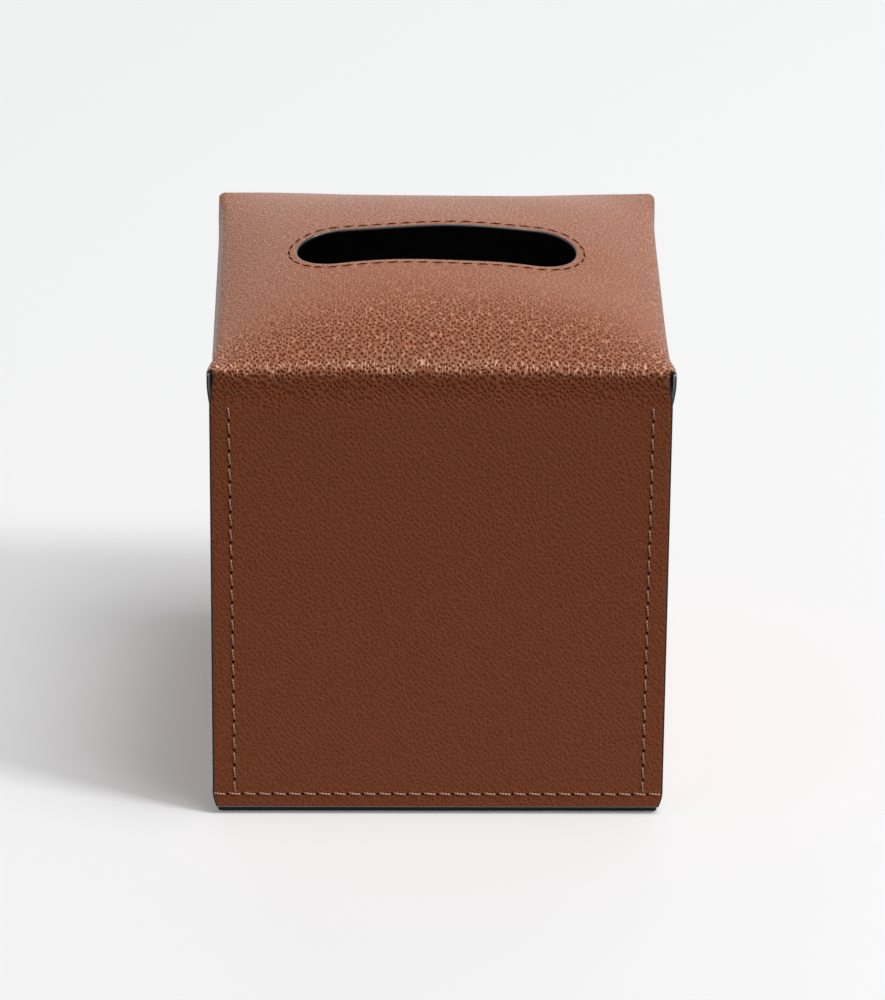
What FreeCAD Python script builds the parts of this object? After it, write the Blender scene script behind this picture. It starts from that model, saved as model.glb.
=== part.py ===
import FreeCAD, Part
import Sketcher
import os
import re

# A square leather tissue cover that stands over a low black base.
#
# Frame: millimetres, +Z up. The origin is the middle of the underside, and the front is the -Y side.
#
# The cover's skin is one cross-shaped blank of leather on a bonded backing. Its middle is the domed
# top with the slot, and its four arms fold down as the sides. The left and right arms end in flanges,
# which turn in behind the front and back arms and are sewn there. The flanges stop short of the fold,
# so each corner opens in a narrow leaf under it. A stiffening board stands inside each arm, with a
# sheet of lining over it.
# The base is a plate under the walls, with a riser that keeps the cover in its place.

SIZES = {
    "overall_width": 130.0,
    "overall_depth": 130.0,
    "fold_height": 140.6,
    "dome_rise": 11.4,
    "dome_flatness": 0.6,
    "front_fold_radius": 3.0,
    "side_fold_radius": 4.5,
    "leather_thickness": 1.4,
    "lining_thickness": 0.4,
    "side_board_thickness": 1.6,
    "board_end_gap": 0.3,
    "layer_gap": 0.2,
    "slot_length": 82.0,
    "slot_width": 24.5,
    "flange_width": 10.0,
    "bend_radius": 2.0,
    "leaf_height": 10.0,
    "leaf_depth": 1.1,
    "hem_corner_radius": 1.3,
    "plate_setback": 1.5,
    "plate_thickness": 1.8,
    "plate_corner_radius": 1.2,
    "riser_clearance": 0.5,
    "riser_thickness": 2.4,
    "riser_corner_radius": 3.0,
    "riser_edge_chamfer": 0.8,
    "liner_margin": 2.0,
    "liner_thickness": 0.5,
    "felt_margin": 1.0,
    "felt_thickness": 0.4,
}

# Heights and faces that several pieces share, as expressions of the sizes.
HEM = "(felt_thickness + plate_thickness)"
LEAF_BOTTOM = "(fold_height - leaf_height)"
SIDE_INSIDE = "(overall_width / 2 - leather_thickness)"
FRONT_INSIDE = "(overall_depth / 2 - leather_thickness)"
FLANGE_OUTSIDE = f"({FRONT_INSIDE} - layer_gap)"
FLANGE_INSIDE = f"({FLANGE_OUTSIDE} - leather_thickness)"
BEND_CENTRE_X = "(overall_width / 2 - bend_radius)"
BEND_CENTRE_Y = f"({FLANGE_OUTSIDE} - bend_radius)"
LINING_OUTSIDE_X = f"({SIDE_INSIDE} - side_board_thickness)"
LINING_INSIDE_X = f"({LINING_OUTSIDE_X} - lining_thickness)"
LINING_INSIDE_Y = f"({FLANGE_INSIDE} - lining_thickness)"
RISER_TOP = f"({HEM} + riser_thickness)"

CUT_MARGIN = 5.0
NEAR = 0.01

doc = FreeCAD.newDocument("tissue_cover")


def fill_sheet():
    """Put every driving dimension in the sheet, under its own name."""
    sheet = doc.addObject("Spreadsheet::Sheet", "sizes")
    for row, (name, value) in enumerate(SIZES.items(), start=1):
        sheet.set(f"A{row}", name)
        sheet.set(f"B{row}", str(value))
        sheet.setAlias(f"B{row}", name)
    doc.recompute()
    return sheet


sizes = fill_sheet()


def in_sheet(expression):
    """Write an expression of the sizes as one that reads the sheet."""
    return re.sub(r"\b(" + "|".join(SIZES) + r")\b", r"sizes.\1", str(expression))


def value(expression):
    """Work an expression of the sizes out."""
    return float(sizes.evalExpression(str(expression)))


def bind(thing, **expressions):
    """Bind a piece's properties to the sheet. x, y and z are its place."""
    for name, expression in expressions.items():
        path = f"Placement.Base.{name}" if name in ("x", "y", "z") else name
        thing.setExpression(path, in_sheet(expression))
    return thing


def box(name, low, high):
    """A box between two corners."""
    thing = doc.addObject("Part::Box", name)
    length, width, height = (f"{top} - ({bottom})" for bottom, top in zip(low, high))
    bind(thing, Length=length, Width=width, Height=height)
    return bind(thing, x=low[0], y=low[1], z=low[2])


def cylinder(name, radius, length, place):
    """An upright cylinder."""
    thing = doc.addObject("Part::Cylinder", name)
    bind(thing, Radius=radius, Height=length)
    return bind(thing, x=place[0], y=place[1], z=place[2])


def joined(name, pieces):
    """Several solids fused into one."""
    thing = doc.addObject("Part::MultiFuse", name)
    thing.Shapes = pieces
    return thing


def cut(name, base, tool):
    """One solid less another."""
    thing = doc.addObject("Part::Cut", name)
    thing.Base = base
    thing.Tool = tool
    return thing


def mirrored(source, name, normal):
    """A copy mirrored in a plane through the origin."""
    thing = doc.addObject("Part::Mirroring", name)
    thing.Source = source
    thing.Normal = normal
    return thing


def at_four_corners(name, piece):
    """The piece at the front left corner, with its copies at the other three."""
    across = mirrored(piece, name + "_right", FreeCAD.Vector(1, 0, 0))
    front = joined(name + "_front", [piece, across])
    back = mirrored(front, name + "_back", FreeCAD.Vector(0, 1, 0))
    return joined(name, [front, back])


# The domed top

def pole_heights(reach):
    """The poles of the dome's profile, a quartic, where it is drawn from -reach to reach.

    The profile is (1 - t^2) * (1 + flatness * t^2). It is 1 in the middle and 0 where t is -1 or 1.
    """
    flatness = sizes.dome_flatness
    square = (1 - flatness) * reach ** 2
    fourth = flatness * reach ** 4
    end = 1 - square - fourth
    shoulder = 1 + fourth
    crown = 1 + square / 3 - fourth
    return [end, shoulder, crown, shoulder, end]


def dome_patch(drop):
    """The top's surface. It is level along the folds, swells between them and runs past them a little."""
    half_width = sizes.overall_width / 2 + CUT_MARGIN
    half_depth = sizes.overall_depth / 2 + CUT_MARGIN
    heights_x = pole_heights(half_width * 2 / sizes.overall_width)
    heights_y = pole_heights(half_depth * 2 / sizes.overall_depth)
    last = len(heights_x) - 1
    patch = Part.BezierSurface()
    patch.increase(last, last)
    for i, height_x in enumerate(heights_x):
        for j, height_y in enumerate(heights_y):
            x = half_width * (2 * i / last - 1)
            y = half_depth * (2 * j / last - 1)
            z = sizes.fold_height - drop + sizes.dome_rise * height_x * height_y
            patch.setPole(i + 1, j + 1, FreeCAD.Vector(x, y, z))
    return patch.toShape()


def over_dome(name, drop):
    """Everything above the top's surface, lowered by the drop."""
    thing = doc.addObject("Part::Feature", name)
    height = sizes.dome_rise + drop + 2 * CUT_MARGIN
    thing.Shape = dome_patch(drop).extrude(FreeCAD.Vector(0, 0, height))
    return thing


def rim_edges(shape):
    """The edges where the domed face meets the walls: those along X, then those along Y."""
    dome = next(face for face in shape.Faces if not isinstance(face.Surface, Part.Plane))
    along_x = []
    along_y = []
    for number, edge in enumerate(shape.Edges, start=1):
        if any(edge.isSame(rim) for rim in dome.Edges):
            box_size = edge.BoundBox
            group = along_x if box_size.XLength > box_size.YLength else along_y
            group.append(number)
    return along_x, along_y


def domed_block(name, half_width, half_depth, bottom, drop):
    """A block under the top's surface, lowered by the drop."""
    low = (f"-{half_width}", f"-{half_depth}", bottom)
    walls = box(name + "_walls", low, (half_width, half_depth, "fold_height + dome_rise"))
    block = cut(name, walls, over_dome(name + "_over_dome", value(drop)))
    doc.recompute()
    return block


def folded(name, kind, block, front_size, side_size):
    """The block with its rim rounded or chamfered, by one size at front and back and one at the sides."""
    thing = doc.addObject(kind, name)
    thing.Base = block
    along_x, along_y = rim_edges(block.Shape)
    front, side = value(front_size), value(side_size)
    thing.Edges = [(edge, front, front) for edge in along_x] + [(edge, side, side) for edge in along_y]
    return thing


def chamfer_for(radius):
    """The chamfer that comes as near to a right-angled corner's middle as a fillet of the radius does."""
    return f"(2 - sqrt(2)) * ({radius})"


def slot_form(name):
    """The slot's rounded outline, standing through the top."""
    low = f"fold_height - {CUT_MARGIN}"
    high = f"fold_height + dome_rise + {CUT_MARGIN}"
    end = "(slot_length / 2 - slot_width / 2)"
    middle = box(name + "_middle", (f"-{end}", "-slot_width / 2", low), (end, "slot_width / 2", high))
    height = f"dome_rise + {2 * CUT_MARGIN}"
    ends = [
        cylinder(f"{name}_{side}", "slot_width / 2", height, (place, 0, low))
        for side, place in (("left", f"-{end}"), ("right", end))
    ]
    return joined(name, [middle] + ends)


# The leather

def corner_gap():
    """What is left open between the side arm and the front arm at the front left corner.

    Above the flange it is only the hairline beside the side arm's raw edge. Below, the whole end of
    the side arm goes, and the flange's bend takes its place.
    """
    outside = f"-overall_width / 2 - {CUT_MARGIN}"
    hairline = box(
        "corner_hairline",
        (outside, f"-{FRONT_INSIDE}", LEAF_BOTTOM),
        (f"-{SIDE_INSIDE}", f"-{FLANGE_OUTSIDE}", "fold_height - side_fold_radius"),
    )
    bend_room = box(
        "corner_bend_room",
        (outside, f"-{FRONT_INSIDE}", f"{HEM} - {CUT_MARGIN}"),
        (f"-{SIDE_INSIDE}", f"-{BEND_CENTRE_Y}", LEAF_BOTTOM),
    )
    return at_four_corners("corner_gaps", joined("corner_gap", [hairline, bend_room]))


def roller(name, radius, place, end):
    """A cylinder that lies along Y, from its place to the end."""
    thing = cylinder(name, radius, f"{end} - ({place[1]})", place)
    thing.Placement.Rotation = FreeCAD.Rotation(FreeCAD.Vector(1, 0, 0), -90)
    return thing


def leaf_cut():
    """The shallow arc that narrows the front and back arms over the height of the leaf.

    Its radius follows from the leaf's height and depth, as a chord and its rise.
    """
    radius = "((leaf_height / 2) ^ 2 + leaf_depth ^ 2) / (2 * leaf_depth)"
    x = f"-(overall_width / 2 - leaf_depth + {radius})"
    y = f"-(overall_depth / 2 + {CUT_MARGIN})"
    z = "fold_height - leaf_height / 2"
    return at_four_corners("leaf_cuts", roller("leaf_arc", radius, (x, y, z), f"-{FLANGE_OUTSIDE}"))


def hem_corner_cut():
    """What the rounding takes off the bottom corners of the front and back arms."""
    x = "-(overall_width / 2 - hem_corner_radius)"
    y = f"-(overall_depth / 2 + {CUT_MARGIN})"
    z = f"{HEM} + hem_corner_radius"
    low = (f"-(overall_width / 2 + {CUT_MARGIN})", y, f"{HEM} - {CUT_MARGIN}")
    block = box("hem_corner_block", low, (x, f"-{FRONT_INSIDE}", z))
    kept = roller("hem_corner_round", "hem_corner_radius", (x, y, z), f"-{FRONT_INSIDE}")
    return at_four_corners("hem_corners", cut("hem_corner", block, kept))


def flange():
    """The side arm's end: a quarter bend, then a strip that lies behind the front arm."""
    height = f"{LEAF_BOTTOM} - {HEM}"
    centre = (f"-{BEND_CENTRE_X}", f"-{BEND_CENTRE_Y}", HEM)
    bend_outside = cylinder("bend_outside", "bend_radius", height, centre)
    bend_inside = cylinder("bend_inside", "bend_radius - leather_thickness", height, centre)
    for round_form in (bend_outside, bend_inside):
        round_form.Angle = 90
        round_form.Placement.Rotation = FreeCAD.Rotation(FreeCAD.Vector(0, 0, 1), 180)
    strip = box(
        "flange_strip",
        (f"-{BEND_CENTRE_X}", f"-{FLANGE_OUTSIDE}", HEM),
        ("-(overall_width / 2 - flange_width)", f"-{FLANGE_INSIDE}", LEAF_BOTTOM),
    )
    return at_four_corners("flanges", joined("flange", [cut("bend", bend_outside, bend_inside), strip]))


def leather_cover():
    """The cross-shaped leather blank, folded and sewn. Its folds are round outside, chamfered inside."""
    outside = folded(
        "leather_outside", "Part::Fillet",
        domed_block("outside_block", "(overall_width / 2)", "(overall_depth / 2)", HEM, 0),
        "front_fold_radius", "side_fold_radius",
    )
    inside = folded(
        "leather_inside", "Part::Chamfer",
        domed_block("inside_block", SIDE_INSIDE, FRONT_INSIDE, f"{HEM} - {CUT_MARGIN}", "leather_thickness"),
        chamfer_for("front_fold_radius - leather_thickness"),
        chamfer_for("side_fold_radius - leather_thickness"),
    )
    hood = cut("leather_hood", outside, inside)
    openings = joined("leather_openings", [slot_form("slot"), corner_gap(), leaf_cut(), hem_corner_cut()])
    return joined("leather_cover", [cut("leather_arms", hood, openings), flange()])


# Flat pieces

def origin_plane(body, role):
    """One of a body's own origin planes."""
    return next(feature for feature in body.Origin.OriginFeatures if feature.Role == role)


def centred_rectangle(body, width, depth):
    """A sketch on the body's XY plane: a rectangle about the origin, sized from the sheet."""
    sketch = body.newObject("Sketcher::SketchObject", body.Name + "_outline")
    sketch.AttachmentSupport = [(origin_plane(body, "XY_Plane"), "")]
    sketch.MapMode = "FlatFace"
    half_width, half_depth = value(width) / 2, value(depth) / 2
    signs = [(-1, -1), (1, -1), (1, 1), (-1, 1)]
    corners = [FreeCAD.Vector(x * half_width, y * half_depth, 0) for x, y in signs]
    for i in range(4):
        sketch.addGeometry(Part.LineSegment(corners[i], corners[(i + 1) % 4]))
    for i in range(4):
        sketch.addConstraint(Sketcher.Constraint("Coincident", i, 2, (i + 1) % 4, 1))
        sketch.addConstraint(Sketcher.Constraint("Vertical" if i % 2 else "Horizontal", i))
    origin_point = (-1, 1)
    sketch.addConstraint(Sketcher.Constraint("Symmetric", 0, 1, 2, 1, *origin_point))
    across = sketch.addConstraint(Sketcher.Constraint("DistanceX", 0, 1, 0, 2, 2 * half_width))
    along = sketch.addConstraint(Sketcher.Constraint("DistanceY", 1, 1, 1, 2, 2 * half_depth))
    sketch.renameConstraint(across, "width")
    sketch.renameConstraint(along, "depth")
    sketch.setExpression("Constraints.width", in_sheet(width))
    sketch.setExpression("Constraints.depth", in_sheet(depth))
    return sketch


def slab(name, width, depth, thickness, place):
    """A flat piece padded up from its footprint."""
    body = doc.addObject("PartDesign::Body", name)
    pad = body.newObject("PartDesign::Pad", name + "_pad")
    pad.Profile = centred_rectangle(body, width, depth)
    bind(pad, Length=thickness)
    bind(body, x=place[0], y=place[1], z=place[2])
    doc.recompute()
    return body


def picked_edges(base, picks):
    """The names of a feature's edges that the test picks."""
    shape = base.Shape
    return [f"Edge{n}" for n, edge in enumerate(shape.Edges, start=1) if picks(edge, shape)]


def rounded(body, picks, radius):
    """Round the body's edges that the test picks."""
    base = body.Tip
    fillet = body.newObject("PartDesign::Fillet", f"{body.Name}_fillet")
    fillet.Base = (base, picked_edges(base, picks))
    bind(fillet, Radius=radius)
    doc.recompute()
    return body


def chamfered(body, picks, size):
    """Chamfer the body's edges that the test picks."""
    base = body.Tip
    chamfer = body.newObject("PartDesign::Chamfer", f"{body.Name}_chamfer")
    chamfer.Base = (base, picked_edges(base, picks))
    bind(chamfer, Size=size)
    doc.recompute()
    return body


def is_upright(edge, shape):
    """Whether an edge is one of the piece's standing corners."""
    low, high = sorted(vertex.Point.z for vertex in edge.Vertexes)
    return high - low > NEAR


def is_on_top(edge, shape):
    """Whether an edge lies in the piece's top face."""
    return all(abs(vertex.Point.z - shape.BoundBox.ZMax) < NEAR for vertex in edge.Vertexes)


# The boards and the lining

def front_or_back_board(name, side):
    """A board that fills the front or back arm between the flanges. The side is - or nothing.

    It is flush with the flanges inside, so that the lining lies flat over both.
    """
    width = "2 * (overall_width / 2 - flange_width - board_end_gap)"
    height = f"fold_height - front_fold_radius - {HEM}"
    place = (0, f"{side}({FRONT_INSIDE} + {FLANGE_INSIDE}) / 2", HEM)
    return slab(name, width, f"{FRONT_INSIDE} - {FLANGE_INSIDE}", height, place)


def side_board(name, side):
    """A board that fills the left or right arm between the flanges' bends."""
    depth = f"2 * ({BEND_CENTRE_Y} - board_end_gap)"
    height = f"fold_height - side_fold_radius - {HEM}"
    place = (f"{side}({SIDE_INSIDE} + {LINING_OUTSIDE_X}) / 2", 0, HEM)
    return slab(name, "side_board_thickness", depth, height, place)


def front_or_back_lining(name, side):
    """The lining over the front or back board and the flanges beside it."""
    height = f"fold_height - front_fold_radius - {HEM}"
    place = (0, f"{side}({FLANGE_INSIDE} + {LINING_INSIDE_Y}) / 2", HEM)
    return slab(name, f"2 * {LINING_OUTSIDE_X}", "lining_thickness", height, place)


def side_lining(name, side):
    """The lining over the left or right board, between the front and back linings."""
    height = f"fold_height - side_fold_radius - {HEM}"
    place = (f"{side}({LINING_OUTSIDE_X} + {LINING_INSIDE_X}) / 2", 0, HEM)
    return slab(name, "lining_thickness", f"2 * {LINING_INSIDE_Y}", height, place)


# The base

def base_plate():
    """The plate that the walls stand on."""
    width = "overall_width - 2 * plate_setback"
    depth = "overall_depth - 2 * plate_setback"
    plate = slab("base_plate", width, depth, "plate_thickness", (0, 0, "felt_thickness"))
    return rounded(plate, is_upright, "plate_corner_radius")


def base_riser():
    """The board on the plate that fits inside the walls, eased so that the cover finds its way down."""
    width = f"2 * ({LINING_INSIDE_X} - riser_clearance)"
    depth = f"2 * ({LINING_INSIDE_Y} - riser_clearance)"
    riser = slab("base_riser", width, depth, "riser_thickness", (0, 0, HEM))
    rounded(riser, is_upright, "riser_corner_radius")
    return chamfered(riser, is_on_top, "riser_edge_chamfer")


def base_liner():
    """The soft sheet on the riser, under the tissue pack."""
    width = f"2 * ({LINING_INSIDE_X} - riser_clearance - liner_margin)"
    depth = f"2 * ({LINING_INSIDE_Y} - riser_clearance - liner_margin)"
    liner = slab("base_liner", width, depth, "liner_thickness", (0, 0, RISER_TOP))
    return rounded(liner, is_upright, "riser_corner_radius - liner_margin")


def base_felt():
    """The felt under the plate, which the whole thing stands on."""
    width = "overall_width - 2 * (plate_setback + felt_margin)"
    depth = "overall_depth - 2 * (plate_setback + felt_margin)"
    felt = slab("base_felt", width, depth, "felt_thickness", (0, 0, 0))
    return rounded(felt, is_upright, "plate_corner_radius")


def check(pieces):
    """Stop if anything in the document failed, or if a piece isn't one sound solid."""
    for thing in doc.Objects:
        if "Invalid" in thing.State or "Error" in thing.State:
            raise RuntimeError(f"{thing.Name} failed: {thing.State}")
    for piece in pieces:
        shape = piece.Shape
        if shape.isNull() or not shape.isValid() or len(shape.Solids) != 1:
            raise RuntimeError(f"{piece.Label} is not one sound solid")


def write(pieces):
    """Write each piece to its own file, under its own name."""
    os.makedirs("parts", exist_ok=True)
    for piece in pieces:
        piece.Shape.exportStep(f"parts/{piece.Label}.step")


def build():
    """Make every piece of the cover and the base."""
    pieces = [
        leather_cover(),
        front_or_back_board("front_board", "-"),
        front_or_back_board("back_board", ""),
        side_board("left_board", "-"),
        side_board("right_board", ""),
        front_or_back_lining("front_lining", "-"),
        front_or_back_lining("back_lining", ""),
        side_lining("left_lining", "-"),
        side_lining("right_lining", ""),
        base_plate(),
        base_riser(),
        base_liner(),
        base_felt(),
    ]
    doc.recompute()
    check(pieces)
    write(pieces)


build()
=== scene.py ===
import bmesh
import bpy
import math
from functools import partial
from mathutils import Matrix, Vector


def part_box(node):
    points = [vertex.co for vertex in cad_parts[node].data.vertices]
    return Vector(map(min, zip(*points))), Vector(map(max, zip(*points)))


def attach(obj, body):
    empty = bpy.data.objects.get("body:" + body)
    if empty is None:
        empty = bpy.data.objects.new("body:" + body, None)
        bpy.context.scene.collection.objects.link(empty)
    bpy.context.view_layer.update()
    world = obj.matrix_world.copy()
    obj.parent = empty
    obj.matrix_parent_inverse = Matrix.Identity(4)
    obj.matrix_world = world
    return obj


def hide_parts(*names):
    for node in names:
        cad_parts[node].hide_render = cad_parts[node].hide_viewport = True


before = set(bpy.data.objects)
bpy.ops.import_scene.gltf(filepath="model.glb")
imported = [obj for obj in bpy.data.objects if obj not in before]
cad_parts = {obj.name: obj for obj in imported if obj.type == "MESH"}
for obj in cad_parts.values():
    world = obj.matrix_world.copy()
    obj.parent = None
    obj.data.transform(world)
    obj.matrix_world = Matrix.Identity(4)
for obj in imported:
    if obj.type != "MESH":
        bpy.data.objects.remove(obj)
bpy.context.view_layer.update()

# The finish of a square leather tissue cover and its base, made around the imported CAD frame.
# Everything is in metres in the frame's own axes: +Z up, the origin under the middle, the front at -Y.

bl_info = {
    "name": "Leather tissue cover",
    "version": (1, 0, 0),
    "blender": (4, 5, 0),
    "location": "3D View > Sidebar > Tissue cover",
    "description": "Makes the leather, the stitching, the lining and the base of a square tissue cover",
    "category": "Object",
}

MM = 0.001
COVER_LOW, COVER_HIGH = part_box("leather_cover")
SIDES = (-1, 1)


def mm(millimetres, description):
    """A size that the sidebar shows as a length."""
    return bpy.props.FloatProperty(
        description=description, default=millimetres * MM, unit="LENGTH", precision=5)


def angle_deg(degrees, description):
    """An angle that the sidebar shows in degrees."""
    return bpy.props.FloatProperty(description=description, default=math.radians(degrees), subtype="ANGLE")


def plain_number(default, description):
    """A plain number."""
    return bpy.props.FloatProperty(description=description, default=default)


def rgb(red, green, blue, description):
    """A colour that the sidebar shows as a swatch."""
    return bpy.props.FloatVectorProperty(
        description=description, default=(red, green, blue), subtype="COLOR", size=3, min=0, max=1)


class CoverSizes(bpy.types.PropertyGroup):
    """The shape of the folded leather."""

    dome_rise: mm(11.4, "Height of the top's middle above its folds")
    dome_flatness: plain_number(0.6, "How far the top stays level before it falls away")
    thickness: mm(1.4, "Leather with its backing")
    front_fold: mm(3.0, "Outer radius of the front and back folds' middle")
    side_fold: mm(4.5, "Outer radius of the side folds' middle")
    corner_fold: mm(1.0, "Outer radius of every fold at its ends")
    slot_length: mm(80.6, "Length of the slot over its round ends")
    slot_shift: mm(-0.7, "How far right of the middle the slot lies")
    slot_width: mm(24.5, "Width of the slot")
    flange_reach: mm(10, "How far a flange reaches behind the front")
    flange_bend: mm(2.0, "Outer radius where a side turns into its flange")
    flange_gap: mm(0.2, "Hairline between a flange and the front")
    ear_height: mm(15.0, "How far down the open corner reaches")
    left_ear: mm(0.8, "How far the left side's corners stand out")
    right_ear: mm(1.0, "How far the right side's corners stand out")
    leaf_narrowing: mm(0.9, "How much narrower the front is beside an ear")
    left_draw: mm(1.4, "How far the left fold is drawn in at its middle")
    right_draw: mm(0.8, "How far the right fold is drawn in at its middle")
    front_draw: mm(0.3, "How far the front fold is drawn in")
    back_draw: mm(0.6, "How far the back fold is drawn in")
    back_sag: mm(3.0, "How far the top hangs along its back")
    back_round: mm(0.6, "How far the back corners are drawn in")
    back_lift: mm(0.5, "How far the back corners stand up")
    hem_taper: mm(1.1, "How far the bottom corners are drawn in")
    edge_round: mm(0.45, "Rounding of the painted edges")


class StitchSizes(bpy.types.PropertyGroup):
    """The thread and where it runs."""

    thread_radius: mm(0.29, "Half the thread's thickness on the walls")
    ring_radius: mm(0.2, "Half the thread's thickness round the slot")
    stitch_length: mm(3.4, "Length of a wall stitch between its holes")
    ring_length: mm(3.9, "Length of a slot stitch between its holes")
    stitch_bow: mm(0.32, "How far a stitch's middle stands over its ends")
    ring_margin: mm(2.4, "From the slot's edge to its stitches")
    ring_pitch: mm(4.25, "Spacing round the slot")
    seam_margin: mm(5.3, "From the front's edge to a seam's start")
    left_drift: mm(1.05, "How far a left seam drifts inwards to the hem")
    right_drift: mm(0.55, "How far a right seam drifts inwards to the hem")
    seam_start: mm(10.5, "How far below the fold a seam starts")
    seam_pitch: mm(4.7, "Spacing of the upright seams")
    hem_margin: mm(4.5, "Height of the hem's stitches above the hem")
    hem_pitch: mm(4.35, "Spacing along the hem")
    side_sink: mm(0.2, "How much deeper the hem's thread lies in the side walls")
    slant: angle_deg(7, "How far a stitch turns from its row")


class CoverColours(bpy.types.PropertyGroup):
    """The colours of the finish."""

    leather: rgb(0.384, 0.106, 0.041, "The leather between its pits")
    # Painted sheen: the top is a yellower copy of the leather, standing in for the warm sheen on the top
    leather_top: rgb(0.365, 0.119, 0.048, "The leather on the top, a little yellower")
    # Painted highlight: the crests of the grain are painted lighter, as if lit
    leather_crest: rgb(0.68, 0.29, 0.16, "The rubbed crests of the grain")
    # Painted glint: the crests along the front fold are painted brightest, as if catching the light
    leather_glint: rgb(0.88, 0.45, 0.28, "The crests on the fold, rubbed most")
    # Partly painted shade: the pits' colour is partly the leather's own darker colour in its pits and partly
    # painted shade
    leather_pit: rgb(0.200, 0.028, 0.006, "The colour in the grain's pits")
    edge_paint: rgb(0.006, 0.004, 0.003, "The painted corners of the raw edges")
    # Painted highlight: the flat middle of the raw edges, and their rounding at the hem, are painted grey as
    # if lit
    edge_core: rgb(0.33, 0.32, 0.31, "The lit middle of the raw edges")
    backing: rgb(0.006, 0.006, 0.006, "The inner face of the leather")
    hem_thread: rgb(0.95, 0.50, 0.36, "The thread on the walls")
    # Painted shade: the slot's thread is painted darker than the wall thread, for the shade it lies in
    ring_thread: rgb(0.085, 0.016, 0.005, "The thread round the slot")
    # Painted shade: the dark painted into the stitch grooves and needle holes
    stitch_hole: rgb(0.022, 0.004, 0.001, "The dark of a needle hole")
    lining: rgb(0.007, 0.007, 0.008, "The black lining")
    board: rgb(0.33, 0.31, 0.28, "The stiffening board")
    base: rgb(0.004, 0.004, 0.004, "The covered base board")
    felt: rgb(0.006, 0.006, 0.006, "The felt under the base")
    floor: rgb(0.94, 0.945, 0.95, "The studio floor")


class StageSettings(bpy.types.PropertyGroup):
    """The camera and the light."""

    lens: plain_number(213.62, "Focal length of the camera, in millimetres")
    place: bpy.props.FloatVectorProperty(
        description="Where the camera stands", default=(-0.0230, -1.5765, 0.8203), unit="LENGTH")
    yaw: angle_deg(0.895, "Turn to the right")
    pitch: angle_deg(25.453, "Tilt down")
    roll: angle_deg(0.505, "Turn about the view")
    key_power: plain_number(74, "Watts of the side light")
    top_power: plain_number(68, "Watts of the overhead light")
    fill_power: plain_number(46, "Watts of the fill light")
    back_power: plain_number(12, "Watts of the back light")
    surround: plain_number(0.17, "Strength of the light from all round")
    bounce: plain_number(0.34, "Paleness of the floor as the object sees it")


# Shape of the leather

TOP_COLUMNS = 64
TOP_RINGS = 24
ARC_ROWS = 8
EAR_ROWS = 14
WALL_ROWS = 40
HEM_ROWS = 5
BEND_COLUMNS = 4
FLANGE_COLUMNS = 3
ARM_ROWS = ARC_ROWS + EAR_ROWS + WALL_ROWS + HEM_ROWS
FLANGE_ROWS = WALL_ROWS + HEM_ROWS
WELD = 1e-6

# Two values that hang on each other are worked out in turn this many times
SETTLING_ROUNDS = 3

# Depths below the fold between which a shape comes in, or dies out, and where the bends begin to turn in
ARM_WIDENS = (0, 2 * MM)
EAR_OPENS = (0.05 * MM, 1.2 * MM)
EAR_CLOSES = (4 * MM, 14 * MM)
EAR_TUCKS_IN = (6 * MM, 12 * MM)
LEAF_WIDENS = (1 * MM, 12 * MM)
SETTLING_ENDS = (2 * MM, 14 * MM)
BEND_START = 10 * MM

# Distances from a corner between which the ear, and the taper at the hem, come in
EAR_NEARS = (12 * MM, 3 * MM)
TAPER_NEARS = (11 * MM, 4 * MM)

BACK_EAR_SHARE = 0.7
EAR_INSET = 0.7 * MM
EAR_TOP_ROUND = 1.5 * MM
EAR_TURN = 0.03
HEM_ROW_HEIGHT = 0.9 * MM
TAPER_REACH = 4.5 * MM
TAPER_POWER = 1.7

# The corner of the top in which a slit closes: how far in from the sides, and how far down
SLIT_TIP = (3.5 * MM, 1.6 * MM)

# The material slots that follow the leather's own
BACKING, PAINT, EDGE_HIGHLIGHT, SLOT_PAINT = range(1, 5)

# Powers that keep a change near a fold or a corner: the higher, the nearer
TIGHT_ENDS = 6
NEAR_FOLD = 6
NEAR_CORNER = 12
ALONG_FOLD = 4

# The sag along the back: how far its lowest place lies from the middle, as a share of half the width, how
# much of it is taken back at the fold itself, and the powers that keep the two near the back
SAG_SHIFT = 0.08
SAG_EASING = 0.55
SAG_REACHES, SAG_EASES = 4, 12

# Where the lips of the slot have settled unevenly: middle of the place, its reach, and the rise
LIP_SETTLING = (
    ((-13 * MM, -17 * MM), 28 * MM, 0.6 * MM),
    ((38 * MM, -14 * MM), 26 * MM, -0.9 * MM),
    ((4 * MM, 15 * MM), 26 * MM, 0.8 * MM),
)


def ease(low, high, value):
    """Nothing up to low, one from high, and a smooth rise between."""
    share = min(1.0, max(0.0, (value - low) / (high - low)))
    return share * share * (3 - 2 * share)


def between(start, end, share):
    """A value part of the way from start to end."""
    return start + (end - start) * share


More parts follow.
